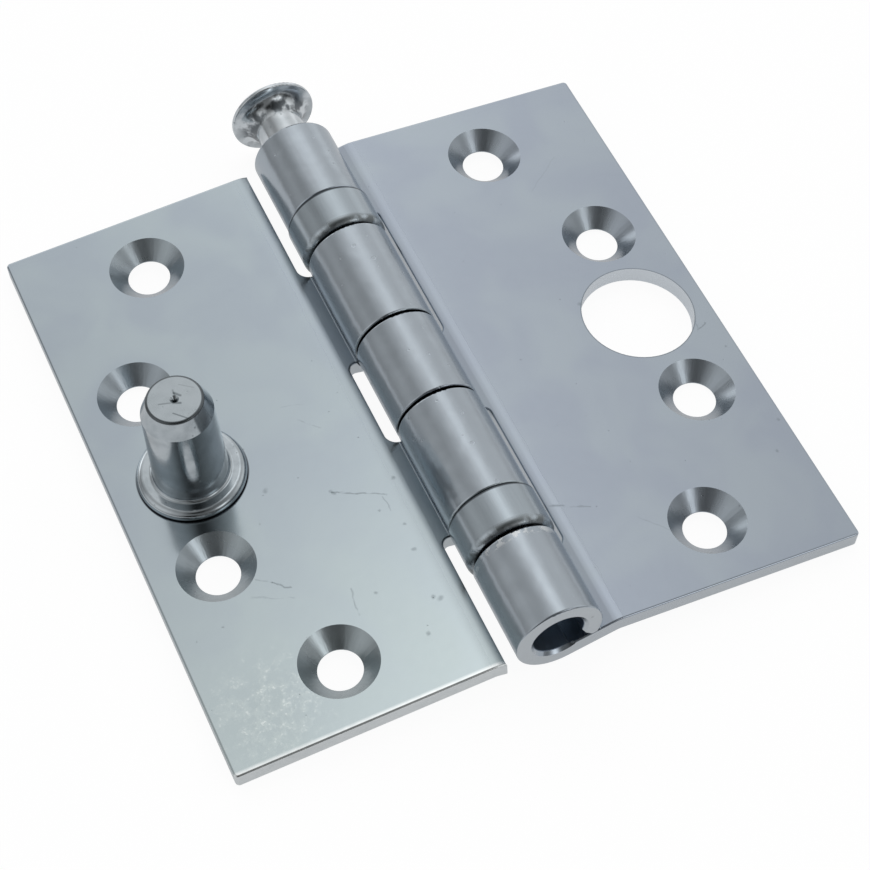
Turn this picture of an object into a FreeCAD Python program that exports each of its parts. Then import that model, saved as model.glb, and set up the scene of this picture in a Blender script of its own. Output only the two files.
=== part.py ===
"""Ball bearing butt hinge with a loose pin and a dog bolt, lying open with its countersunk faces up.

Both leaves are strips of steel sheet, rolled round a pin into five knuckles, with a ball bearing between
the first and second knuckle and another between the fourth and fifth.  The rolled barrel is lower than the
leaves, so the open hinge lies like a shallow roof: on the barrel and on the two outer edges.

Millimetres.  +X is across the leaves, +Y runs along the pin towards its head, +Z is up.
The origin is on the table, under the middle of the whole hinge.
"""
import FreeCAD
import Part
import math
import os

from FreeCAD import Vector

# Leaves: sheet, outline and how the sheet is rolled
leaf_height = 89.0
leaf_width = 44.5
sheet = 2.5
leaf_below_axis = 1.1
swage_angle = 17.0
crease_radius = 2.0
corner_radius = 0.6
edge_softness = 0.3

# Barrel: the five knuckles and the room between them
pin_radius = 3.5
pin_clearance = 0.05
end_knuckle = 13.4
middle_knuckle = 13.6
knuckle_gap = 0.4
notch_clearance = 1.45
notch_corner = 1.4
curl_end_angle = 15.5
seam_gap = 0.08
seam_contact = 0.95
mouth_chamfer = 0.5

# Screw holes: the inner pair near the leaf's ends, the outer pair nearer its middle
screw_radius = 3.0
countersink_radius = 5.35
inner_screw_from_edge = 18.0
inner_screw_from_end = 9.5
outer_screw_from_edge = 9.0
outer_screw_spacing = 30.3

# Dog bolt on the left leaf, and the hole in the right leaf that it enters when the hinge closes
dog_hole_radius = 8.0
dog_hole_from_edge = 10.4
dog_nearer_barrel = 0.9
dog_along = -0.5
dog_height = 17.8
dog_top_radius = 3.83
dog_shoulder_radius = 4.8
dog_shoulder_drop = 2.7
dog_root_radius = 5.15
dog_root_fillet = 0.5
dog_flange_radius = 7.45
dog_flange_height = 1.4
dog_flange_round = 1.0
dog_flange_foot = 0.25
dog_tenon_radius = 4.0
dog_rivet_depth = 1.3
dog_rivet_spread = 1.2
dog_edge_round = 0.3
punch_radius = 0.6
punch_depth = 0.6

# Loose pin, drawn up a little out of its home position
pin_rim_radius = 6.3
pin_rim_height = 0.7
pin_rim_round = 0.2
pin_flare = 2.6
pin_dome = 0.3
pin_stands_proud = 7.6
pin_tip_inset = 0.5
pin_tip_chamfer = 0.6

# Ball bearings: a pressed steel shell round two grooved races, with the balls in a cage between them
bearing_height = 7.2
shell_radius = 6.3
shell_wall = 0.5
shell_round = 1.2
shell_lip = 1.9
shell_top_gap = 0.3
shell_foot_gap = 0.4
race_clearance = 0.1
shell_clearance = 0.12
race_chamfer = 0.8
ball_count = 12
ball_clearance = 0.03
groove_share = 0.4375
cage_wall = 0.22
cage_face_clearance = 0.18
cage_ball_clearance = 0.05
cage_side_clearance = 0.08

# Worked out from the sizes above
bore_radius = pin_radius + pin_clearance
barrel_radius = bore_radius + sheet
leaf_bottom = leaf_below_axis + sheet
half_height = leaf_height / 2
inner_screw_out = leaf_width - inner_screw_from_edge
inner_screw_along = half_height - inner_screw_from_end
outer_screw_out = leaf_width - outer_screw_from_edge
outer_screw_along = outer_screw_spacing / 2
dog_hole_out = leaf_width - dog_hole_from_edge
dog_out = dog_hole_out - dog_nearer_barrel
notch_out = barrel_radius + notch_clearance
swage = math.radians(swage_angle)
axis_height = shell_radius
soft_out = leaf_width - edge_softness
soft_below = leaf_bottom - edge_softness
roof_angle = math.degrees(
    math.asin((axis_height - edge_softness) / math.hypot(soft_below, soft_out))
    - math.atan2(soft_below, soft_out)
)
pin_top = half_height + pin_stands_proud + pin_rim_height + pin_dome
middle_y = (half_height - pin_top) / 2

# How far the pin still goes in before its flared neck meets the rounded mouth of the bore
flare_to_mouth = math.sqrt((pin_flare - edge_softness) ** 2 - (pin_flare - edge_softness - pin_clearance) ** 2)
pin_push_in = pin_stands_proud - pin_flare + edge_softness - flare_to_mouth

# Where the knuckles end along the barrel, from the middle of the leaves
end_knuckle_face = half_height - end_knuckle
side_knuckle_outer = end_knuckle_face - bearing_height
side_knuckle_inner = middle_knuckle / 2 + knuckle_gap

RIGHT, LEFT = 1, -1
ALONG = Vector(0, 1, 0)
UP = Vector(0, 0, 1)
CENTRE = Vector(0, 0, 0)


def outline(start, *steps):
    """A closed face from a start point and steps: a point is a line to it, a pair is an arc through and to."""
    edges = []
    here = start
    for step in steps + (start,):
        if isinstance(step, tuple):
            edges.append(Part.Arc(here, step[0], step[1]).toShape())
            here = step[1]
        elif here.distanceToPoint(step) > 1e-6:
            edges.append(Part.LineSegment(here, step).toShape())
            here = step
    return Part.Face(Part.Wire(edges))


def turned(start, *steps):
    """A solid of revolution about the Y axis, from an outline of radius and height in the XY plane."""
    return outline(start, *steps).revolve(CENTRE, ALONG, 360)


def corner_arc(centre, radius, degrees):
    """The point of a rounded corner at this angle in the XY plane."""
    angle = math.radians(degrees)
    return centre + Vector(radius * math.cos(angle), radius * math.sin(angle), 0)


def seated(shape):
    """Moves a shape from the barrel's own frame to its place on the table."""
    moved = shape.copy()
    moved.translate(Vector(0, middle_y, axis_height))
    return moved


def tilted(shape, side):
    """Lowers a leaf's outer edge by the roof angle."""
    moved = shape.copy()
    moved.rotate(CENTRE, ALONG, side * roof_angle)
    return moved


def rolled_section(side):
    """The sheet seen along the barrel: flat leaf, swaged slope, curl round the pin, and the seam."""
    def at(out, height):
        return Vector(side * out, 0, height)

    def polar(radius, angle):
        return at(radius * math.cos(angle), radius * math.sin(angle))

    def on_slope(from_axis, along):
        return at(
            from_axis * math.sin(swage) + along * math.cos(swage),
            -from_axis * math.cos(swage) + along * math.sin(swage),
        )

    top, bottom = -leaf_below_axis, -leaf_bottom
    slope_end = (barrel_radius * math.cos(swage) - leaf_bottom) / math.sin(swage)
    crease = on_slope(barrel_radius, slope_end)
    to_centre = Vector(side * math.sin(swage / 2), 0, -math.cos(swage / 2))
    bend_centre = crease + to_centre * (crease_radius / math.cos(swage / 2))
    off_slope = Vector(side * math.sin(swage), 0, -math.cos(swage))
    outer_bend = crease_radius + sheet
    bend_out = abs(bend_centre.x)

    foot = swage - math.pi / 2
    lip_from_axis = bore_radius - seam_gap
    lip_along = math.sqrt(barrel_radius ** 2 - lip_from_axis ** 2)
    lip_outer = on_slope(lip_from_axis, lip_along)
    lip_angle = math.atan2(lip_outer.z, abs(lip_outer.x))
    lip_inner = on_slope(lip_from_axis, lip_along - seam_contact)
    curl_end = -math.radians(curl_end_angle)
    outer_middle = (foot + lip_angle - 2 * math.pi) / 2
    inner_middle = (foot + curl_end - 2 * math.pi) / 2

    return outline(
        at(leaf_width, bottom),
        at(bend_out, bottom),
        (bend_centre - to_centre * crease_radius, bend_centre - off_slope * crease_radius),
        polar(barrel_radius, foot),
        (polar(barrel_radius, outer_middle), lip_outer),
        lip_inner,
        polar(bore_radius, curl_end),
        (polar(bore_radius, inner_middle), polar(bore_radius, foot)),
        bend_centre - off_slope * outer_bend,
        (bend_centre - to_centre * outer_bend, at(bend_out, top)),
        at(leaf_width, top),
    )


def notch(side, low, high):
    """The blank punched away beside another leaf's knuckle, with rounded corners in the leaf."""
    inner = -(barrel_radius + 1)
    depth = barrel_radius + leaf_bottom + 2
    block = Part.makeBox(notch_out - inner, high - low, 2 * depth, Vector(inner, low, -depth))
    corners = [edge for edge in block.Edges if is_upright(edge) and edge.CenterOfMass.x > notch_out - 0.01]
    block = block.makeFillet(notch_corner, corners)
    if side == LEFT:
        block.rotate(CENTRE, UP, 180)
        block.translate(Vector(0, low + high, 0))
    return block


def is_upright(edge):
    ends = [vertex.Point for vertex in edge.Vertexes]
    return len(ends) == 2 and abs(ends[0].x - ends[1].x) < 1e-6 and abs(ends[0].y - ends[1].y) < 1e-6


def countersunk_hole(out, along):
    """A screw hole with its 90 degree countersink in the upper face."""
    drill = Part.makeCylinder(screw_radius, sheet + 2, Vector(out, along, -leaf_bottom - 1), UP)
    depth = countersink_radius - screw_radius
    cone_foot = Vector(out, along, -leaf_below_axis - depth)
    cone = Part.makeCone(screw_radius, countersink_radius + 1, depth + 1, cone_foot, UP)
    return drill.fuse(cone)


def screw_holes(side):
    holes = []
    for out, along in ((inner_screw_out, inner_screw_along), (outer_screw_out, outer_screw_along)):
        for end in (1, -1):
            holes.append(countersunk_hole(side * out, end * along))
    return holes


def leaf_blank(side, notches):
    """A rolled leaf with its notches and screw holes, still untilted."""
    sheet_metal = rolled_section(side).extrude(ALONG * leaf_height)
    sheet_metal.translate(ALONG * -half_height)
    for low, high in notches:
        sheet_metal = sheet_metal.cut(notch(side, low, high))
    return with_soft_edges(sheet_metal).cut(screw_holes(side))


def with_soft_edges(leaf):
    """Rounds the two outer corners, then takes the sharpness off the sheet's edges and the knuckles' rims."""
    outer = [edge for edge in leaf.Edges if is_upright(edge) and abs(edge.CenterOfMass.x) > leaf_width - 0.01]
    leaf = leaf.makeFillet(corner_radius, outer)
    soft = [edge for edge in leaf.Edges if is_outline(edge) or is_rim(edge) or is_slot_edge(edge)]
    return leaf.makeFillet(edge_softness, soft)


def is_outline(edge):
    """Along the outside of the flat leaf and round its corners, on either face."""
    return edge.BoundBox.ZLength < 1e-6 and abs(edge.CenterOfMass.x) > leaf_width - corner_radius


def is_rim(edge):
    """The outer circle at the end of a knuckle."""
    return isinstance(edge.Curve, Part.Circle) and abs(edge.Curve.Radius - barrel_radius) < 1e-6


def is_slot_edge(edge):
    """Between two knuckles, on the upper face of the leaf."""
    box = edge.BoundBox
    straight = box.ZLength < 1e-6 and box.XLength < 1e-6
    above = edge.CenterOfMass.z > -(leaf_below_axis + sheet / 2)
    return straight and above and abs(abs(edge.CenterOfMass.x) - notch_out) < 1e-6


def right_leaf():
    """Three knuckles: both ends and the middle.  The large hole takes the other leaf's dog bolt."""
    spans = [(middle_knuckle / 2, end_knuckle_face), (-end_knuckle_face, -middle_knuckle / 2)]
    leaf = leaf_blank(RIGHT, spans)
    bolt_hole = Part.makeCylinder(dog_hole_radius, sheet + 2, Vector(dog_hole_out, 0, -leaf_bottom - 1), UP)
    return tilted(leaf.cut([bolt_hole, bore_mouth()]), RIGHT)


def bore_mouth():
    """The 45 degree chamfer at the open end of the bore, as a cone that runs past it both ways."""
    start = Vector(0, -half_height - mouth_chamfer, 0)
    return Part.makeCone(bore_radius + 2 * mouth_chamfer, bore_radius - mouth_chamfer, 3 * mouth_chamfer, start, ALONG)


def left_leaf():
    """Two knuckles between the other leaf's three.  It carries the dog bolt, riveted from behind."""
    past_end = half_height + 1
    spans = [
        (side_knuckle_outer, past_end),
        (-side_knuckle_inner, side_knuckle_inner),
        (-past_end, -side_knuckle_outer),
    ]
    leaf = leaf_blank(LEFT, spans)
    foot = Vector(-dog_out, dog_along, -leaf_bottom)
    tenon_hole = Part.makeCylinder(dog_tenon_radius, sheet + 1, foot, UP)
    spread = dog_tenon_radius + dog_rivet_spread
    rivet_seat = Part.makeCone(spread, dog_tenon_radius, dog_rivet_depth, foot, UP)
    return tilted(leaf.cut(tenon_hole.fuse(rivet_seat)), LEFT)


def dog_bolt():
    """Turned steel stud: riveted tenon, round flange, slightly tapered shank and a long chamfer."""
    shoulder = dog_height - dog_shoulder_drop
    flange_centre = Vector(dog_flange_radius - dog_flange_round, dog_flange_height - dog_flange_round, 0)
    fillet_centre = Vector(dog_root_radius + dog_root_fillet, dog_flange_height + dog_root_fillet, 0)
    top_centre = Vector(dog_top_radius - dog_edge_round, dog_height - dog_edge_round, 0)
    stud = turned(
        Vector(0, -sheet, 0),
        Vector(dog_tenon_radius + dog_rivet_spread, -sheet, 0),
        Vector(dog_tenon_radius, dog_rivet_depth - sheet, 0),
        Vector(dog_tenon_radius, 0, 0),
        Vector(dog_flange_radius - dog_flange_foot, 0, 0),
        Vector(dog_flange_radius, dog_flange_foot, 0),
        corner_arc(flange_centre, dog_flange_round, 0),
        (corner_arc(flange_centre, dog_flange_round, 45), corner_arc(flange_centre, dog_flange_round, 90)),
        corner_arc(fillet_centre, dog_root_fillet, 270),
        (corner_arc(fillet_centre, dog_root_fillet, 225), corner_arc(fillet_centre, dog_root_fillet, 180)),
        Vector(dog_shoulder_radius, shoulder, 0),
        corner_arc(top_centre, dog_edge_round, 20),
        (corner_arc(top_centre, dog_edge_round, 55), corner_arc(top_centre, dog_edge_round, 90)),
        Vector(punch_radius, dog_height, 0),
        Vector(0, dog_height - punch_depth, 0),
    )
    stud.rotate(CENTRE, Vector(1, 0, 0), 90)
    stud.translate(Vector(-dog_out, dog_along, -leaf_below_axis))
    return tilted(stud, LEFT)


def hinge_pin():
    """Plain pin with a flared neck and a flat mushroom head, chamfered at the other end."""
    rim_foot = half_height + pin_stands_proud
    rim_top = rim_foot + pin_rim_height
    tip = -half_height + pin_push_in + pin_tip_inset
    flare_centre = Vector(pin_radius + pin_flare, rim_foot - pin_flare, 0)
    low = Vector(pin_rim_radius - pin_rim_round, rim_foot + pin_rim_round, 0)
    high = Vector(pin_rim_radius - pin_rim_round, rim_top - pin_rim_round, 0)
    dome_radius = (high.x ** 2 + pin_dome ** 2) / (2 * pin_dome)
    dome_sink = dome_radius - math.sqrt(dome_radius ** 2 - (high.x / 2) ** 2)
    dome_half = Vector(high.x / 2, rim_top + pin_dome - dome_sink, 0)
    return turned(
        Vector(0, tip, 0),
        Vector(pin_radius - pin_tip_chamfer, tip, 0),
        Vector(pin_radius, tip + pin_tip_chamfer, 0),
        Vector(pin_radius, flare_centre.y, 0),
        (corner_arc(flare_centre, pin_flare, 135), corner_arc(flare_centre, pin_flare, 90)),
        corner_arc(low, pin_rim_round, 270),
        (corner_arc(low, pin_rim_round, 315), corner_arc(low, pin_rim_round, 0)),
        corner_arc(high, pin_rim_round, 0),
        (corner_arc(high, pin_rim_round, 45), corner_arc(high, pin_rim_round, 90)),
        (dome_half, Vector(0, rim_top + pin_dome, 0)),
    )


# The bearing's own sizes, from its foot upwards
race_bore = pin_radius + race_clearance
shell_bore = shell_radius - shell_wall
ball_room = (shell_bore - pin_radius) / 2
ball_radius = ball_room - cage_side_clearance - cage_wall - cage_ball_clearance
groove_depth = groove_share * ball_radius
race_gap = 2 * (ball_radius + ball_clearance - groove_depth)
cage_thickness = race_gap - 2 * cage_face_clearance
lip_top = shell_foot_gap + shell_wall
race_thickness = (bearing_height - lip_top - race_gap) / 2
race_outer = shell_bore - shell_clearance
race_hub = shell_radius - shell_lip - shell_clearance
pitch_radius = pin_radius + ball_room
ball_level = lip_top + race_thickness + race_gap / 2


def bearing_shell():
    """Pressed cup: straight at the top, turned in at the foot under the lower race, clear of the knuckle."""
    outer = Vector(shell_radius - shell_round, shell_foot_gap + shell_round, 0)
    inner_round = shell_round - shell_wall
    rim = bearing_height - shell_top_gap
    return turned(
        Vector(shell_radius - shell_lip, shell_foot_gap, 0),
        corner_arc(outer, shell_round, 270),
        (corner_arc(outer, shell_round, 315), corner_arc(outer, shell_round, 0)),
        Vector(shell_radius, rim, 0),
        Vector(shell_bore, rim, 0),
        corner_arc(outer, inner_round, 0),
        (corner_arc(outer, inner_round, 315), corner_arc(outer, inner_round, 270)),
        Vector(shell_radius - shell_lip, lip_top, 0),
    )


def bearing_race(hub_foot, foot, head, foot_chamfer):
    """A hardened washer with a groove for the balls.  The lower one has a hub that stands on the knuckle
    through the shell's foot, and a chamfer where it sits in the shell's round."""
    washer = turned(
        Vector(race_bore, hub_foot, 0),
        Vector(race_hub, hub_foot, 0),
        Vector(race_hub, foot, 0),
        Vector(race_outer - foot_chamfer, foot, 0),
        Vector(race_outer, foot + foot_chamfer, 0),
        Vector(race_outer, head, 0),
        Vector(race_bore, head, 0),
    )
    ball_path = Part.makeTorus(pitch_radius, ball_radius + ball_clearance, Vector(0, ball_level, 0), ALONG)
    return washer.cut(ball_path)


def ball_places():
    places = []
    for number in range(ball_count):
        angle = 2 * math.pi * number / ball_count
        places.append(Vector(pitch_radius * math.sin(angle), ball_level, pitch_radius * math.cos(angle)))
    return places


def ball_cage():
    """A flat ring with a pocket for each ball."""
    foot = Vector(0, ball_level - cage_thickness / 2, 0)
    ring = Part.makeCylinder(shell_bore - cage_side_clearance, cage_thickness, foot, ALONG)
    ring = ring.cut(Part.makeCylinder(pin_radius + cage_side_clearance, cage_thickness, foot, ALONG))
    pocket = ball_radius + cage_ball_clearance
    pockets = []
    for place in ball_places():
        start = place - ALONG * cage_thickness
        pockets.append(Part.makeCylinder(pocket, 2 * cage_thickness, start, ALONG))
    return ring.cut(pockets)


def bearing_pieces(name, foot):
    """All pieces of one bearing, standing on the knuckle face at this place along the barrel."""
    lower_top = lip_top + race_thickness
    upper_foot = lower_top + race_gap
    pieces = {
        name + "_bearing_shell": bearing_shell(),
        name + "_lower_race": bearing_race(0, lip_top, lower_top, race_chamfer),
        name + "_upper_race": bearing_race(upper_foot, upper_foot, bearing_height, 0),
        name + "_ball_cage": ball_cage(),
    }
    for number, place in enumerate(ball_places(), start=1):
        pieces["%s_ball_%02d" % (name, number)] = Part.makeSphere(ball_radius, place)
    for shape in pieces.values():
        shape.translate(ALONG * foot)
    return pieces


def build():
    pieces = {
        "right_leaf": right_leaf(),
        "left_leaf": left_leaf(),
        "dog_bolt": dog_bolt(),
        "hinge_pin": hinge_pin(),
    }
    pieces.update(bearing_pieces("upper", side_knuckle_outer))
    pieces.update(bearing_pieces("lower", -end_knuckle_face))
    os.makedirs("parts", exist_ok=True)
    for name, shape in pieces.items():
        placed = seated(shape)
        placed.exportStep("parts/%s.step" % name)
        print(name, placed.isValid(), len(placed.Solids), round(placed.Volume, 2))


build()
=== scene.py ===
import math

import bpy
from mathutils import Matrix, Vector


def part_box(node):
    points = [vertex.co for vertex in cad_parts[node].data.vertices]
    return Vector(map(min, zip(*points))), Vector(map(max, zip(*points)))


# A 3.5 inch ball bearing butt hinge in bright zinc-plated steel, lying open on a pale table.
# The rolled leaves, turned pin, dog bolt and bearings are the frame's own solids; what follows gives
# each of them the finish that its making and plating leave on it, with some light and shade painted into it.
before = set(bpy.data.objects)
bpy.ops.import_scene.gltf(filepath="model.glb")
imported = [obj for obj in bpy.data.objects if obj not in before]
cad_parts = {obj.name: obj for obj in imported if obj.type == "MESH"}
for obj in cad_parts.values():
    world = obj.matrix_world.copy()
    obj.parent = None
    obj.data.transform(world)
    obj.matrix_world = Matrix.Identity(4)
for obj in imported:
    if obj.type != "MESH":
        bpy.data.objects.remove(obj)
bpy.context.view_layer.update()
MM = 0.001


# Camera, as far off as a product photographer stands with a short telephoto lens.
# It looks down over the left leaf along the barrel, and was held a degree off level.
CAMERA_PLACE = (-79.89, -181.71, 269.55)
CAMERA_AZIMUTH = -25.015
CAMERA_ELEVATION = 54.897
CAMERA_ROLL = 0.970
CAMERA_LENS = 99.59
CAMERA_SENSOR = 36.0
CAMERA_SHIFT = -0.00055
NEAREST_SEEN = 10

camera_data = bpy.data.cameras.new("camera")
camera_data.sensor_width = CAMERA_SENSOR
camera_data.lens = CAMERA_LENS
camera_data.shift_x = CAMERA_SHIFT
camera_data.clip_start = NEAREST_SEEN * MM
camera = bpy.data.objects.new("camera", camera_data)
bpy.context.scene.collection.objects.link(camera)
turn = Matrix.Rotation(math.radians(CAMERA_AZIMUTH), 4, "Z")
nod = Matrix.Rotation(math.radians(90 - CAMERA_ELEVATION), 4, "X")
roll = Matrix.Rotation(math.radians(CAMERA_ROLL), 4, "Z")
camera.matrix_world = Matrix.Translation(Vector(CAMERA_PLACE) * MM) @ turn @ nod @ roll
bpy.context.scene.camera = camera
bpy.context.scene.view_settings.view_transform = "Standard"


# Table: a sheet of white paper, large enough to fill the view.
# The camera sees it burnt out nearly to white, with the hinge's soft shadow left in it, and the metal
# mirrors it a little darker.
TABLE_SIZE = 1600
TABLE_DROP = 0.05
PAPER = "#F6F6F7"
SEEN_GLOW, SEEN_SHARE = 1.06, 0.88
MIRRORED_GLOW, MIRRORED_SHARE = 0.84, 0.72


def colour(hex_code):
    parts = [int(hex_code[i:i + 2], 16) / 255 for i in (1, 3, 5)]
    linear = [p / 12.92 if p <= 0.04045 else ((p + 0.055) / 1.055) ** 2.4 for p in parts]
    return (*linear, 1.0)


def given(made):
    """What a node gives: the first of its outputs that its options leave in use."""
    return next(output for output in made.outputs if output.enabled)


def put(tree, kind, sockets=None, **settings):
    """Adds a node, sets its options, and fills its sockets with values or with what other nodes give."""
    made = tree.nodes.new("ShaderNode" + kind)
    for name, value in settings.items():
        setattr(made, name, value)
    for name, value in (sockets or {}).items():
        if isinstance(value, bpy.types.Node):
            value = given(value)
        if isinstance(value, bpy.types.NodeSocket):
            tree.links.new(value, made.inputs[name])
        else:
            made.inputs[name].default_value = value
    return made


bpy.ops.object.select_all(action="DESELECT")
bpy.ops.mesh.primitive_plane_add(size=TABLE_SIZE * MM, location=(0, 0, -TABLE_DROP * MM))
table = bpy.context.active_object
table.name = "table"
bpy.ops.object.transform_apply(location=True, rotation=True, scale=True)
# Uncoated white paper: matt, and bright enough to lose its grain
paper = bpy.data.materials.new("white_paper")
paper.use_nodes = True
tree = paper.node_tree
tree.nodes.clear()
rays = put(tree, "LightPath")
shaded = put(tree, "BsdfDiffuse", {"Color": colour(PAPER)})
mirrored_glow = put(tree, "Emission", {"Color": colour(PAPER), "Strength": MIRRORED_GLOW})
mirrored = put(tree, "MixShader", {0: MIRRORED_SHARE, 1: shaded, 2: mirrored_glow})
seen_glow = put(tree, "Emission", {"Strength": SEEN_GLOW})
seen = put(tree, "MixShader", {0: SEEN_SHARE, 1: shaded, 2: seen_glow})
in_metal = put(tree, "MixShader", {0: rays.outputs["Is Glossy Ray"], 1: shaded, 2: mirrored})
in_view = put(tree, "MixShader", {0: rays.outputs["Is Camera Ray"], 1: in_metal, 2: seen})
put(tree, "OutputMaterial", {"Surface": in_view})
table.data.materials.append(paper)


# Light: a white tent lit from outside, from the right, from behind and from the left, and hardly from the
# front, where the photographer stands. Small windows behind and at the front right are brighter, and the
# cloth is darker in places on the left. There are no lamps inside it.
TENT_LEVEL = 0.05
TENT_DARKEST = 0.02
TENT_CLOTH = "#FFFFFF"
BACKDROP_GLOW = 1.0
# Lighter and darker patches of the tent's cloth: degrees clockwise from straight behind, degrees up, degrees
# from its middle to where it is down to half, and how much light it adds or takes
TENT_PATCHES = (
    (90, 30, 30.5, 0.85),
    (0, 30, 30.5, 0.85),
    (-90, 30, 30.5, 0.71),
    (180, 30, 30.5, 0.08),
    (42, 5, 12.3, 0.78),
    (16, 33, 12.3, 0.58),
    (-150, 61, 12.3, -0.25),
    (-33, 33, 12.3, -0.40),
    (152, 29, 8.7, 1.95),
    (-25, 17, 8.7, 1.49),
    (28, 65, 8.7, 0.93),
    (-12, 70, 8.7, 0.28),
    (40, 50, 8.7, 0.09),
    (-149, 17, 8.7, -0.28),
)

world = bpy.data.worlds.new("light_tent")
bpy.context.scene.world = world
world.use_nodes = True
world.cycles.sampling_method = "NONE"
tree = world.node_tree
tree.nodes.clear()
sky = put(tree, "TexCoord").outputs["Generated"]
level = TENT_LEVEL
for round_by, up_by, spread, light in TENT_PATCHES:
    round_by, up_by = math.radians(round_by), math.radians(up_by)
    towards = (math.cos(up_by) * math.sin(round_by), math.cos(up_by) * math.cos(round_by), math.sin(up_by))
    steepness = math.log(2) / (1 - math.cos(math.radians(spread)))
    facing = put(tree, "VectorMath", {0: sky, 1: towards}, operation="DOT_PRODUCT")
    fade = put(tree, "Math", {0: facing, 1: steepness, 2: -steepness}, operation="MULTIPLY_ADD")
    patch = put(tree, "Math", {0: fade}, operation="EXPONENT")
    level = put(tree, "Math", {0: patch, 1: light, 2: level}, operation="MULTIPLY_ADD")
level = put(tree, "Math", {0: level, 1: TENT_DARKEST}, operation="MAXIMUM")
tent = put(tree, "Background", {"Color": colour(TENT_CLOTH), "Strength": level})
# Past the table's edge the camera sees plain white
backdrop = put(tree, "Background", {"Color": colour(TENT_CLOTH), "Strength": BACKDROP_GLOW})
in_view = put(tree, "LightPath").outputs["Is Camera Ray"]
around = put(tree, "MixShader", {0: in_view, 1: tent, 2: backdrop})
put(tree, "OutputWorld", {"Surface": around})


# Leaves: two blanks of cold-rolled strip, punched, swaged, rolled round the pin and bright zinc plated.
# The plating follows the strip's fine grain, so it is satin, faintly blue and a little cloudy, and the
# punched edges and countersinks under it keep the marks of their tools.
LEAF_TILT = 3.5102
PIN_AXIS = (0.0, -4.3, 6.3)
ON_AXIS = (0.0, 0.0, 0.0)
LEAF_END = 44.0
KNUCKLE_REACH = 6.35
BORE_REACH = 3.62
SWAGE_END = 10.2
DOG_FOOT = (-33.2, -0.5, -1.1)
DOG_REACH = 7.45
BOLT_HOLE = (34.1, 0.0, 0.0)
BOLT_HOLE_REACH = 8.0
SCREW_HOLES = ((26.5, 35.0), (26.5, -35.0), (35.5, 15.15), (35.5, -15.15))
COUNTERSINK = 5.35
FACE_ROUGHNESS = 0.11
# The plating's own tint, and its lighter and darker clouds
LEAF_DIP = {"left_leaf": "#AFBAC2", "right_leaf": "#AEB7C2"}
LEAF_CLOUD = {"left_leaf": "#B3BEC3", "right_leaf": "#B0BAC2"}
LEAF_SHADE = {"left_leaf": "#ACB6BF", "right_leaf": "#A9B2BE"}
# Towards the near end the left leaf is painted lighter and a little green, as painted light, and a dotted
# painted glint runs along the rim there
NEAR_END_LIGHT_TINT = "#BFCBCA"
NEAR_RIM = -43.9
RIM_GLINT = "#F8FBFB"
# The plating bath left one corner of the left leaf speckled and dull
STAIN_PLACE = (-36.8, -37.6, 0.0)
STAIN_REACH = 11.0
STAIN_PALE = "#D6E0DD"
STAIN_FLECK = "#F0F5F3"
# Metal under the plating, grime on it, and black painted shade for the seams and the flange's corner
KNUCKLE_TINT = "#B6BFC7"
ROLL_LINE = "#9AA1A5"
CUT_BRIGHT = "#D3D8DA"
CONE_DULL = "#8F979B"
HOLE_BRIGHT = "#DEE5EB"
HOLE_LINE = "#4C5459"
SHADE_AND_OIL_BLACK = "#20272E"
BORE_TINT = "#8492A2"
SCRATCH_DARK = "#6A7478"
PIT_DARK = "#6E777B"
# Where the bearing's foot has rubbed a knuckle's rim bright
WORN_RIM = (0.0, -31.6, 0.0)
WORN_BRIGHT = "#E6EAEC"
# Scratches on each leaf, as they lie in millimetres from the pin and from the middle: where each starts and
# ends, how wide it is, and how deep it looks
SCRATCHES = {
    "left_leaf": (
        (-17.4, -11.3, -11.1, -14.8, 0.13, 0.8),
        (-11.7, -14.9, -11.5, -17.3, 0.10, 0.5),
        (-17.6, -11.0, -17.2, -11.7, 0.20, 0.6),
        (-31.6, -19.4, -29.8, -20.6, 0.10, 0.6),
        (-29.8, -20.6, -28.0, -22.5, 0.12, 0.8),
        (-33.0, -21.6, -28.2, -24.0, 0.10, 0.3),
        (-20.9, -25.9, -21.6, -30.0, 0.12, 0.5),
        (-36.0, 8.0, -33.5, 20.0, 0.08, 0.2),
        (-17.2, 1.4, -14.9, -1.1, 0.09, 0.3),
        (-18.5, 4.4, -15.5, 3.7, 0.08, 0.25),
    ),
    "right_leaf": (
        (7.0, -24.5, 13.0, -27.4, 0.12, 0.6),
        (18.0, -31.0, 26.0, -40.0, 0.08, 0.25),
        (30.0, 26.0, 36.0, 31.0, 0.07, 0.2),
        (42.1, -5.1, 40.6, -5.8, 0.10, 0.7),
        (41.2, -3.9, 40.4, -6.2, 0.08, 0.5),
    ),
}
# Knocks, each with its place and its reach
NICKS = {
    "left_leaf": (
        (-25.4, -7.2, 0.30), (-18.4, -27.9, 0.22), (-11.1, -32.2, 0.30), (-11.8, -31.6, 0.24),
        (-14.7, -36.2, 0.24), (-11.2, -24.1, 0.26), (-10.8, -20.0, 0.20), (-27.0, -4.2, 0.22),
        (-9.3, -12.7, 0.26), (-13.0, -16.5, 0.18), (-24.0, -33.0, 0.20), (-38.0, -24.0, 0.16),
    ),
    "right_leaf": (
        (27.0, 4.4, 0.30), (42.8, -10.0, 0.18), (43.5, -23.9, 0.24), (40.7, -28.4, 0.24),
        (15.0, -1.6, 0.14), (24.9, 6.1, 0.14),
    ),
}


def metal(name, tint, roughness):
    """A new metal finish and its node tree, with a plain tint and roughness to start from."""
    finish = bpy.data.materials.new(name)
    finish.use_nodes = True
    shader = finish.node_tree.nodes["Principled BSDF"]
    shader.inputs["Base Color"].default_value = colour(tint)
    shader.inputs["Metallic"].default_value = 1.0
    shader.inputs["Roughness"].default_value = roughness
    return finish, finish.node_tree


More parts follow.
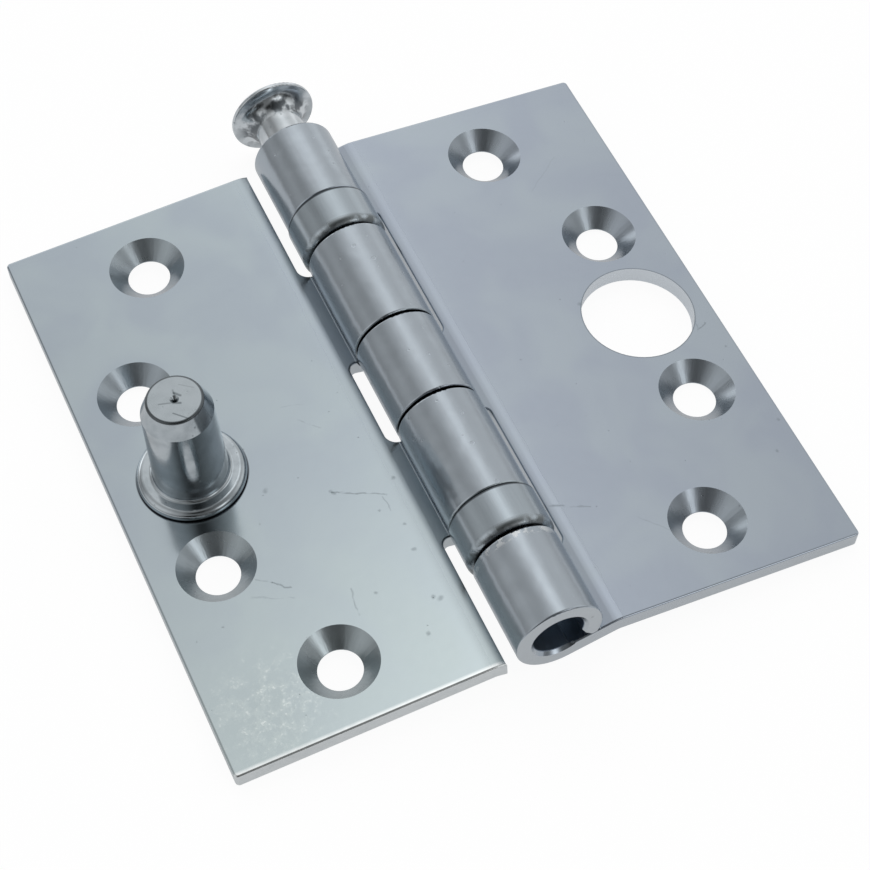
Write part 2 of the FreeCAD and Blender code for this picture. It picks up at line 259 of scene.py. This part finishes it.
def lay_on(tree, tint, rough, height):
    """Gives a finish its tint, its roughness and its relief, whose height is in millimetres."""
    shader = tree.nodes["Principled BSDF"]
    relief = put(tree, "Bump", {"Height": height, "Strength": 1.0, "Distance": MM})
    for made, socket in ((tint, "Base Color"), (rough, "Roughness"), (relief, "Normal")):
        tree.links.new(given(made), shader.inputs[socket])


def dress(name, finish):
    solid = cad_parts[name]
    solid.data.materials.clear()
    solid.data.materials.append(finish)


def film(tree, tint, hex_code, share, *places):
    """A tint with a film of another colour over it, as dense as its share, where all the places overlap."""
    for place in places:
        share = put(tree, "Math", {0: place, 1: share}, operation="MULTIPLY")
    return put(tree, "Mix", {"Factor": share, 6: tint, 7: colour(hex_code)}, data_type="RGBA")


def built_up(tree, value, *parts):
    """A value with parts added, each of them an amount and the places where it counts, all at once."""
    for amount, *places in parts:
        for place in places:
            amount = put(tree, "Math", {0: place, 1: amount}, operation="MULTIPLY")
        value = put(tree, "Math", {0: value, 1: amount}, operation="ADD")
    return value


def within(tree, place, middle, reach, soft):
    """1 where a place lies within reach of a middle, falling to 0 over a soft border."""
    away = put(tree, "VectorMath", {0: place, 1: middle}, operation="DISTANCE")
    return put(tree, "MapRange", {"Value": away, "From Min": reach + soft, "From Max": reach - soft},
               interpolation_type="SMOOTHSTEP")


def scratch_lines(tree, place, lines):
    """Where thin straight scratches run, as a value that is higher where they look deeper."""
    cuts = 0.0
    for x1, y1, x2, y2, wide, deep in lines:
        start, run = Vector((x1, y1, 0.0)), Vector((x2 - x1, y2 - y1, 0.0))
        from_start = put(tree, "VectorMath", {0: place, 1: start}, operation="SUBTRACT")
        share = put(tree, "VectorMath", {0: from_start, 1: run / run.length_squared}, operation="DOT_PRODUCT")
        part_way = put(tree, "Clamp", {"Value": share})
        nearest = put(tree, "VectorMath", {0: run, "Scale": part_way}, operation="SCALE")
        cuts = built_up(tree, cuts, (deep, within(tree, from_start, nearest, wide, wide * 0.7)))
    return cuts


for leaf, side in (("right_leaf", 1), ("left_leaf", -1)):
    finish, tree = metal("bright_zinc_on_" + leaf, LEAF_DIP[leaf], 0.24)
    # Millimetres out from the pin, along it, and up from the pin's axis, lying with the leaf
    point = put(tree, "Mapping", {
        "Vector": put(tree, "TexCoord").outputs["Object"],
        "Location": Vector(PIN_AXIS) * MM,
        "Rotation": (0.0, math.radians(side * LEAF_TILT), 0.0),
        "Scale": (MM, MM, MM),
    }, vector_type="TEXTURE")
    apart = put(tree, "SeparateXYZ", {0: point})
    out, along, up = (apart.outputs[axis] for axis in "XYZ")
    flat_point = put(tree, "CombineXYZ", {"X": out, "Y": along})
    beside_pin = put(tree, "CombineXYZ", {"X": out, "Z": up})
    along_pin = put(tree, "CombineXYZ", {"Y": along})
    facing = put(tree, "SeparateXYZ", {0: put(tree, "NewGeometry").outputs["True Normal"]})
    upright = put(tree, "Math", {0: facing.outputs["Z"]}, operation="ABSOLUTE")
    endways = put(tree, "Math", {0: facing.outputs["Y"]}, operation="ABSOLUTE")

    # The face, and the round of the barrel
    on_face = put(tree, "MapRange", {"Value": facing.outputs["Z"], "From Min": 0.97, "From Max": 0.99})
    barrel = within(tree, beside_pin, ON_AXIS, KNUCKLE_REACH, 0.05)
    sideways = put(tree, "MapRange", {"Value": endways, "From Min": 0.6, "From Max": 0.3})
    round_face = put(tree, "Math", {0: barrel, 1: sideways}, operation="MULTIPLY")

    # The cones of the countersinks, and how far each of their points lies from its hole
    from_hole, near_hole = (0.0, 0.0, 0.0), 0.0
    for hole_out, hole_along in SCREW_HOLES:
        hole = (side * hole_out, hole_along, 0.0)
        here = within(tree, flat_point, hole, COUNTERSINK + 0.2, 0.01)
        off = put(tree, "VectorMath", {0: flat_point, 1: hole}, operation="SUBTRACT")
        mine = put(tree, "VectorMath", {0: off, "Scale": here}, operation="SCALE")
        from_hole = put(tree, "VectorMath", {0: from_hole, 1: mine}, operation="ADD")
        near_hole = put(tree, "Math", {0: near_hole, 1: here}, operation="ADD")
    sloping = put(tree, "MapRange", {"Value": upright, "From Min": 0.90, "From Max": 0.84})
    cone = put(tree, "Math", {0: near_hole, 1: sloping}, operation="MULTIPLY")

    # The punched edges and sawn knuckle ends, and what is left: the sheet's face, back and swage
    steep = put(tree, "MapRange", {"Value": upright, "From Min": 0.5, "From Max": 0.3})
    rounded = put(tree, "Math", {0: near_hole, 1: round_face}, operation="ADD")
    square = put(tree, "Math", {0: 1.0, 1: rounded}, operation="SUBTRACT", use_clamp=True)
    cut_face = put(tree, "Math", {0: steep, 1: square}, operation="MULTIPLY")
    off_sheet = put(tree, "Math", {0: barrel, 1: cut_face}, operation="ADD")
    on_sheet = put(tree, "Math", {0: 1.0, 1: off_sheet}, operation="SUBTRACT", use_clamp=True)

    # Clouds in the plating, some 14 mm across, and three fine mottles of 1.5 mm over them
    clouds = put(tree, "TexNoise", {"Vector": point, "Scale": 1 / 14, "Detail": 2.0, "Distortion": 0.6})
    mottle = put(tree, "TexNoise", {"Vector": point, "Scale": 1 / 1.5, "Detail": 3.0, "Roughness": 0.6})
    mottles = put(tree, "SeparateColor", {0: mottle.outputs["Color"]})
    spots, chips, breaks = (mottles.outputs[name] for name in ("Red", "Green", "Blue"))
    bright = put(tree, "MapRange", {"Value": clouds, "From Min": 0.35, "From Max": 0.68},
                 interpolation_type="SMOOTHSTEP")
    tint = film(tree, colour(LEAF_SHADE[leaf]), LEAF_CLOUD[leaf], 1.0, bright)
    tint = film(tree, tint, LEAF_DIP[leaf], 0.5, spots)
    rough = built_up(tree, FACE_ROUGHNESS, (0.04, bright), (0.04, spots))

    stained = 0.0
    if leaf == "left_leaf":
        # Painted light: lighter and a little greener towards the near end
        lit_near_end = put(tree, "MapRange", {"Value": along, "From Min": 5.0, "From Max": -45.0})
        tint = film(tree, tint, NEAR_END_LIGHT_TINT, 0.6, lit_near_end)
        # The stained patch: small pale speckles, thinning out towards its border, with white flecks of 0.4 mm
        stain = within(tree, flat_point, STAIN_PLACE, STAIN_REACH * 0.55, STAIN_REACH * 0.45)
        pale = put(tree, "MapRange", {"Value": chips, "From Min": 0.46, "From Max": 0.66})
        stained = put(tree, "Math", {0: stain, 1: pale}, operation="MULTIPLY")
        flecks = put(tree, "TexNoise", {"Vector": point, "Scale": 1 / 0.4, "Detail": 1.0})
        flecks = put(tree, "MapRange", {"Value": flecks, "From Min": 0.56, "From Max": 0.68})
        tint = film(tree, tint, STAIN_PALE, 0.35, stained)
        tint = film(tree, tint, STAIN_FLECK, 0.55, stained, flecks)
        # A painted glint: a dotted bright line along the rim of the near end
        glint_line = put(tree, "MapRange", {
            "Value": along, "From Min": NEAR_RIM + 0.2, "From Max": NEAR_RIM - 0.2,
        })
        knocked = put(tree, "Math", {0: spots, 1: 0.3}, operation="ADD")
        tint = film(tree, tint, RIM_GLINT, 0.9, glint_line, knocked)
        rough = built_up(tree, rough, (0.08, stain))

    # Scratches and knocks, broken up and shaken a little from their lines by the mottle
    shake = put(tree, "VectorMath", {0: mottle.outputs["Color"], 1: (-0.5, -0.5, -0.5)}, operation="ADD")
    shake = put(tree, "VectorMath", {0: shake, 1: (0.9, 0.9, 0.0)}, operation="MULTIPLY")
    shaken = put(tree, "VectorMath", {0: flat_point, 1: shake}, operation="ADD")
    cuts = scratch_lines(tree, shaken, SCRATCHES[leaf])
    broken = put(tree, "MapRange", {"Value": breaks, "From Min": 0.35, "From Max": 0.5})
    cuts = put(tree, "Math", {0: cuts, 1: broken}, operation="MULTIPLY")
    for x, y, wide in NICKS[leaf]:
        cuts = built_up(tree, cuts, (0.65, within(tree, shaken, (x, y, 0.0), wide, wide * 0.8)))
    cuts = put(tree, "Math", {0: cuts, 1: on_face}, operation="MULTIPLY")

    # Tiny pits all over, 0.2 mm wide and some 3 mm apart, wider and in clusters on the knuckles
    pit_cells = put(tree, "TexVoronoi", {"Vector": point, "Scale": 1 / 2.6})
    cluster = put(tree, "MapRange", {"Value": clouds, "From Min": 0.54, "From Max": 0.62})
    from_pit = built_up(tree, pit_cells, (-0.03, barrel), (-0.06, barrel, cluster))
    pits = put(tree, "MapRange", {"Value": from_pit, "From Min": 0.05, "From Max": 0.01},
               interpolation_type="SMOOTHSTEP")
    tint = film(tree, tint, SCRATCH_DARK, 0.55, cuts)
    tint = film(tree, tint, PIT_DARK, 0.5, pits)
    rough = built_up(tree, rough, (0.15, cuts), (0.15, pits))

    # Chatter of the countersink bit: ridges that fan out from the hole, some 7 degrees apart
    ring = put(tree, "VectorMath", {0: from_hole}, operation="LENGTH")
    rise = put(tree, "CombineXYZ", {"Z": put(tree, "Math", {0: ring, 1: 0.6}, operation="MULTIPLY")})
    compass = put(tree, "VectorMath", {0: from_hole}, operation="NORMALIZE")
    fan_place = put(tree, "VectorMath", {0: compass, 1: (8.0, 8.0, 8.0), 2: rise}, operation="MULTIPLY_ADD")

    # Tool marks, drawn with one pattern laid out as each tool ran. On the face it is the strip's grain,
    # running across the leaf: real lines are some 0.05 mm apart, drawn 0.25 mm apart to show. Cut edges are
    # burnished downwards by the punch, and the rolling die's lines run along the knuckles, 0.4 mm apart.
    place = put(tree, "VectorMath", {0: point, 1: (0.08, 4.0, 4.0)}, operation="MULTIPLY")
    punched = put(tree, "VectorMath", {0: point, 1: (5.0, 5.0, 0.5)}, operation="MULTIPLY")
    rolled = put(tree, "VectorMath", {0: point, 1: (2.5, 0.12, 2.5)}, operation="MULTIPLY")
    for where, laid_out in ((cone, fan_place), (cut_face, punched), (round_face, rolled)):
        place = put(tree, "Mix", {"Factor": where, 4: place, 5: laid_out}, data_type="VECTOR")
    marks = put(tree, "TexNoise", {"Vector": place, "Scale": 1.0, "Detail": 2.0})
    chatter = built_up(tree, 0.1, (0.5, marks))
    tint = film(tree, tint, KNUCKLE_TINT, 1.0, round_face)
    tint = film(tree, tint, CONE_DULL, 1.0, cone, chatter)
    tint = film(tree, tint, CUT_BRIGHT, 0.6, cut_face)

    # Between the knuckles the end faces are painted near black: painted shade for the gaps of the seams, and
    # old oil on ends that never took the plating
    off_middle = put(tree, "Math", {0: along}, operation="ABSOLUTE")
    inside = put(tree, "MapRange", {"Value": off_middle, "From Min": LEAF_END, "From Max": LEAF_END - 0.5})
    seam_shade = put(tree, "MapRange", {"Value": endways, "From Min": 0.85, "From Max": 0.97})
    tint = film(tree, tint, SHADE_AND_OIL_BLACK, 1.0, seam_shade, inside, barrel)
    tint = film(tree, tint, ROLL_LINE, 0.2, round_face, marks)
    rough = built_up(tree, rough, (0.14, cut_face), (0.09, round_face), (0.12, cone))

    # The swage beside the barrel was scuffed dull by its die, and the bore is given a darker, duller tint
    off_pin = put(tree, "Math", {0: out}, operation="ABSOLUTE")
    by_barrel = put(tree, "MapRange", {
        "Value": off_pin, "From Min": SWAGE_END + 0.6, "From Max": SWAGE_END - 1.4,
    }, interpolation_type="SMOOTHSTEP")
    bore = within(tree, beside_pin, ON_AXIS, BORE_REACH, 0.03)
    tint = film(tree, tint, BORE_TINT, 1.0, bore)
    rough = built_up(tree, rough, (0.16, by_barrel, on_sheet), (0.25, bore))

    # The last knuckle's rim is knocked bright where the bearing's foot rubs it
    by_foot = within(tree, along_pin, WORN_RIM, 0.55, 0.35)
    chipped = put(tree, "MapRange", {"Value": chips, "From Min": 0.50, "From Max": 0.58})
    tint = film(tree, tint, WORN_BRIGHT, 0.8, round_face, by_foot, chipped)
    rough = built_up(tree, rough, (0.12, round_face, by_foot, chipped))

    if leaf == "left_leaf":
        # A black ring painted round the dog bolt's flange: painted contact shadow, with old oil in the corner
        flange_contact_shadow = within(tree, flat_point, (DOG_FOOT[0], DOG_FOOT[1], 0.0), DOG_REACH + 0.15, 0.12)
        tint = film(tree, tint, SHADE_AND_OIL_BLACK, 0.9, flange_contact_shadow, on_face)
    else:
        # The large hole was sheared bright, and a dark hairline is painted round its rim
        in_hole = within(tree, flat_point, BOLT_HOLE, BOLT_HOLE_REACH + 0.1, 0.02)
        on_rim = within(tree, flat_point, BOLT_HOLE, BOLT_HOLE_REACH + 0.14, 0.05)
        tint = film(tree, tint, HOLE_BRIGHT, 0.9, cut_face, in_hole)
        tint = film(tree, tint, HOLE_LINE, 0.45, on_face, on_rim)

    # Orange-peel of the rolled strip, 2 mm from crest to crest and a few microns deep; rolling left the
    # knuckles more uneven, in shallow facets some 4 mm across
    peel = put(tree, "TexNoise", {"Vector": point, "Scale": 1 / 2, "Detail": 1.0})
    facets = put(tree, "TexNoise", {"Vector": point, "Scale": 1 / 4, "Detail": 1.5})
    height = built_up(
        tree, 0.0,
        (0.001, marks), (0.014, cone, marks), (0.03, cut_face, marks), (0.004, round_face, marks),
        (0.004, peel), (0.11, round_face, facets), (0.004, stained), (-0.02, pits),
    )
    lay_on(tree, tint, rough, height)
    dress(leaf, finish)


# Dog bolt: a stud turned from free-cutting bar, with a long chamfer, a round flange and a centre mark,
# riveted through the left leaf from behind. It is plated like the leaf, over the fine rings that the lathe
# left.
DOG_STEEL = "#BCC4C9"
DOG_DARK = "#8D969B"
DOG_SCUFF = "#5B6367"
DOG_DULL = "#A3ABAF"
DOG_PUNCH_AND_SHADOW = "#22282C"
DOG_TOP = 17.52
DOG_TOP_RIM = 3.42
# Knocks on its flat top, from the stud's middle: start, end, width and depth
DOG_SCRATCHES = (
    (-2.1, 0.1, -0.5, -0.4, 0.10, 0.6), (-0.9, -2.0, 0.5, -3.5, 0.10, 0.8), (0.3, 0.9, 0.9, 0.2, 0.16, 0.8),
    (-0.3, -0.5, 0.5, -0.9, 0.16, 0.9), (0.2, 0.1, 0.3, 1.4, 0.12, 0.5), (1.3, 1.9, 2.9, 0.6, 0.07, 0.3),
)


def turned_finish(name, tints, roughness, place, lean, ring_depth, own_marks=None):
    """Steel with a tool's rings round an axis that starts at a place and leans about X, Y and Z."""
    finish, tree = metal(name, tints[0], roughness)
    point = put(tree, "Mapping", {
        "Vector": put(tree, "TexCoord").outputs["Object"],
        "Location": Vector(place) * MM,
        "Rotation": tuple(math.radians(angle) for angle in lean),
        "Scale": (MM, MM, MM),
    }, vector_type="TEXTURE")
    apart = put(tree, "SeparateXYZ", {0: point})
    across = put(tree, "CombineXYZ", {"X": apart.outputs["X"], "Y": apart.outputs["Y"]})
    radius = put(tree, "VectorMath", {0: across}, operation="LENGTH")
    # Rings: the tool's feed is near 0.1 mm, drawn 0.3 mm apart to show
    lathe_point = put(tree, "CombineXYZ", {"X": radius, "Y": apart.outputs["Z"]})
    rings = put(tree, "TexNoise", {"Vector": lathe_point, "Scale": 3.3, "Detail": 3.0})
    clouds = put(tree, "TexNoise", {"Vector": point, "Scale": 1 / 2.5, "Detail": 4.0})
    shade = put(tree, "MapRange", {"Value": clouds, "From Min": 0.42, "From Max": 0.66})
    knock_cells = put(tree, "TexVoronoi", {"Vector": point, "Scale": 1 / 1.6})
    knocks = put(tree, "MapRange", {"Value": knock_cells, "From Min": 0.14, "From Max": 0.04},
                 interpolation_type="SMOOTHSTEP")
    tint = film(tree, colour(tints[0]), tints[1], 0.45, shade)
    tint = film(tree, tint, tints[2], 0.4, knocks)
    rough = built_up(tree, roughness - 0.03, (0.06, shade), (0.06, knocks))
    if own_marks:
        tint, rough = own_marks(tree, across, apart.outputs["Z"], clouds, tint, rough)
    lay_on(tree, tint, rough, built_up(tree, 0.0, (ring_depth, rings), (-0.01, knocks)))
    return finish


def dog_marks(tree, across, up, clouds, tint, rough):
    """The stud's scuffed top with its centre mark, a dark ring round the top's edge, and painted contact
    shadow at the flange's foot.
    """
    on_top = put(tree, "Math", {0: up, 1: DOG_TOP}, operation="GREATER_THAN")
    tint = film(tree, tint, DOG_DULL, 0.6, on_top)
    tint = film(tree, tint, DOG_SCUFF, 0.8, scratch_lines(tree, across, DOG_SCRATCHES), on_top)
    tint = film(tree, tint, DOG_PUNCH_AND_SHADOW, 1.0, within(tree, across, ON_AXIS, 0.3, 0.2))
    # Painted contact shadow at the flange's foot, and a dark ring round the edge of the top
    radius = put(tree, "VectorMath", {0: across}, operation="LENGTH")
    rim = put(tree, "MapRange", {"Value": radius, "From Min": DOG_TOP_RIM, "From Max": DOG_TOP_RIM + 0.1})
    under = put(tree, "MapRange", {"Value": up, "From Min": 0.42, "From Max": 0.3})
    tint = film(tree, tint, DOG_PUNCH_AND_SHADOW, 0.75, built_up(tree, under, (1.0, rim, on_top)))
    return tint, built_up(tree, rough, (0.1, on_top))


lean = math.radians(-LEAF_TILT)
dog_place = (
    PIN_AXIS[0] + DOG_FOOT[0] * math.cos(lean) + DOG_FOOT[2] * math.sin(lean),
    PIN_AXIS[1] + DOG_FOOT[1],
    PIN_AXIS[2] - DOG_FOOT[0] * math.sin(lean) + DOG_FOOT[2] * math.cos(lean),
)
dress("dog_bolt", turned_finish("zinc_on_turned_dog_bolt", (DOG_STEEL, DOG_DARK, DOG_SCUFF), 0.16,
                                dog_place, (0.0, -LEAF_TILT, 0.0), 0.003, dog_marks))


# Loose pin: drawn and turned rod with an upset mushroom head, plated and pushed through all five knuckles.
# Its head's flare is painted with dark blotches as painted reflections of the dark surroundings, and its
# shank slid bright in the bore.
PIN_STEEL = "#D6DCE0"
PIN_DARK = "#A9B1B6"
PIN_SCUFF = "#4E5658"
PIN_DARK_REFLECTION = "#2C343B"
PIN_FLARE = (49.3, 52.2)
ALONG_PIN = (-90.0, 0.0, 0.0)


def flare_dark_reflections(tree, across, up, clouds, tint, rough):
    """Painted reflections: dark blotches on the flare under the pin's head."""
    low, high = PIN_FLARE
    past_low = put(tree, "MapRange", {"Value": up, "From Min": low, "From Max": low + 0.6})
    short_of_high = put(tree, "MapRange", {"Value": up, "From Min": high, "From Max": high - 0.6})
    blotch = put(tree, "MapRange", {"Value": clouds, "From Min": 0.42, "From Max": 0.52})
    return film(tree, tint, PIN_DARK_REFLECTION, 0.8, blotch, past_low, short_of_high), rough


dress("hinge_pin", turned_finish("zinc_on_turned_pin", (PIN_STEEL, PIN_DARK, PIN_SCUFF), 0.18,
                                 PIN_AXIS, ALONG_PIN, 0.003, flare_dark_reflections))


# Bearing shells: thin cups pressed from strip round the races and turned in at the foot.
# Pressing left them smoother than the knuckles, with a little old grease in the corner at the foot, and a
# dark line is painted at the mouth as painted shadow in the gap beside the knuckle.
SHELL_STEEL = "#B6C0C7"
SHELL_SHADE = "#98A2A9"
SHELL_GREASE = "#5B5D5A"
SHELL_GAP_SHADOW = "#262B2F"
for shell in ("upper_bearing_shell", "lower_bearing_shell"):
    foot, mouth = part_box(shell)[0][1] / MM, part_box(shell)[1][1] / MM
    cup_height = mouth - foot
    finish, tree = metal("zinc_on_pressed_" + shell, SHELL_STEEL, 0.22)
    point = put(tree, "Mapping", {
        "Vector": put(tree, "TexCoord").outputs["Object"],
        "Location": (0.0, foot * MM, PIN_AXIS[2] * MM), "Scale": (MM, MM, MM),
    }, vector_type="TEXTURE")
    up_cup = put(tree, "SeparateXYZ", {0: point}).outputs["Y"]
    # The die's faint lines run along the cup, 0.3 mm apart
    draw_place = put(tree, "VectorMath", {0: point, 1: (3.0, 0.2, 3.0)}, operation="MULTIPLY")
    drawn = put(tree, "TexNoise", {"Vector": draw_place, "Scale": 1.0, "Detail": 3.0})
    blotch = put(tree, "TexNoise", {"Vector": point, "Scale": 1 / 1.8, "Detail": 4.0})
    at_foot = put(tree, "MapRange", {"Value": up_cup, "From Min": 1.5, "From Max": 0.7})
    greasy = put(tree, "MapRange", {"Value": blotch, "From Min": 0.38, "From Max": 0.55})
    # Painted shadow: a dark line at the mouth, for the gap there
    shadowed_mouth = put(tree, "MapRange", {
        "Value": up_cup, "From Min": cup_height - 0.3, "From Max": cup_height - 0.12,
    })
    tint = film(tree, colour(SHELL_STEEL), SHELL_SHADE, 0.4, drawn)
    tint = film(tree, tint, SHELL_GREASE, 0.7, at_foot, greasy)
    tint = film(tree, tint, SHELL_GAP_SHADOW, 0.85, shadowed_mouth)
    rough = built_up(tree, 0.17, (0.15, at_foot, greasy), (0.08, blotch))
    lay_on(tree, tint, rough, built_up(tree, 0.0, (0.006, drawn), (0.02, at_foot, greasy)))
    dress(shell, finish)


# Races: hardened washers with a ground groove for the balls, pressed into the cups.
# They are painted far darker than the plating, as painted shade in the thin gaps where they show, with fine
# rings and a film of oil.
RACE_SHADE_TINTS = ("#4A4E51", "#33373A", "#202326")
race_shade_finish = turned_finish("ground_race_painted_dark", RACE_SHADE_TINTS, 0.22, PIN_AXIS, ALONG_PIN, 0.002)
for bearing in ("upper", "lower"):
    dress(bearing + "_upper_race", race_shade_finish)
    dress(bearing + "_lower_race", race_shade_finish)


# Ball cages: flat rings stamped from thin steel, with a pocket for each ball.
# They are left bare, so they look warmer and duller than the plating under their oil.
CAGE_TINTS = ("#A3A09A", "#85827B", "#5C5953")
cage_finish = turned_finish("oiled_stamped_cage", CAGE_TINTS, 0.34, PIN_AXIS, ALONG_PIN, 0.001)
for bearing in ("upper", "lower"):
    dress(bearing + "_ball_cage", cage_finish)


# Balls: chrome steel, hardened and lapped to a mirror, lying loose in the cage's pockets.
# Only hair-fine swirls and a touch of oil show close to.
BALL_COUNT = 12
BALL_STEEL = "#D2D4D6"
BALL_OIL = "#B3AFA6"
ball_finish, tree = metal("lapped_chrome_steel_ball", BALL_STEEL, 0.07)
frame_point = put(tree, "TexCoord").outputs["Object"]
point = put(tree, "VectorMath", {0: frame_point, "Scale": 1 / MM}, operation="SCALE")
# Lapping swirls of 0.2 mm, far finer on a real ball
swirl = put(tree, "TexNoise", {"Vector": point, "Scale": 1 / 0.2, "Detail": 2.0, "Distortion": 1.5})
oil = put(tree, "TexNoise", {"Vector": point, "Scale": 1.2, "Detail": 1.0})
tint = film(tree, colour(BALL_STEEL), BALL_OIL, 0.3, oil)
lay_on(tree, tint, built_up(tree, 0.04, (0.08, swirl)), built_up(tree, 0.0, (0.0005, swirl)))
for bearing in ("upper", "lower"):
    for number in range(1, BALL_COUNT + 1):
        dress("%s_ball_%02d" % (bearing, number), ball_finish)
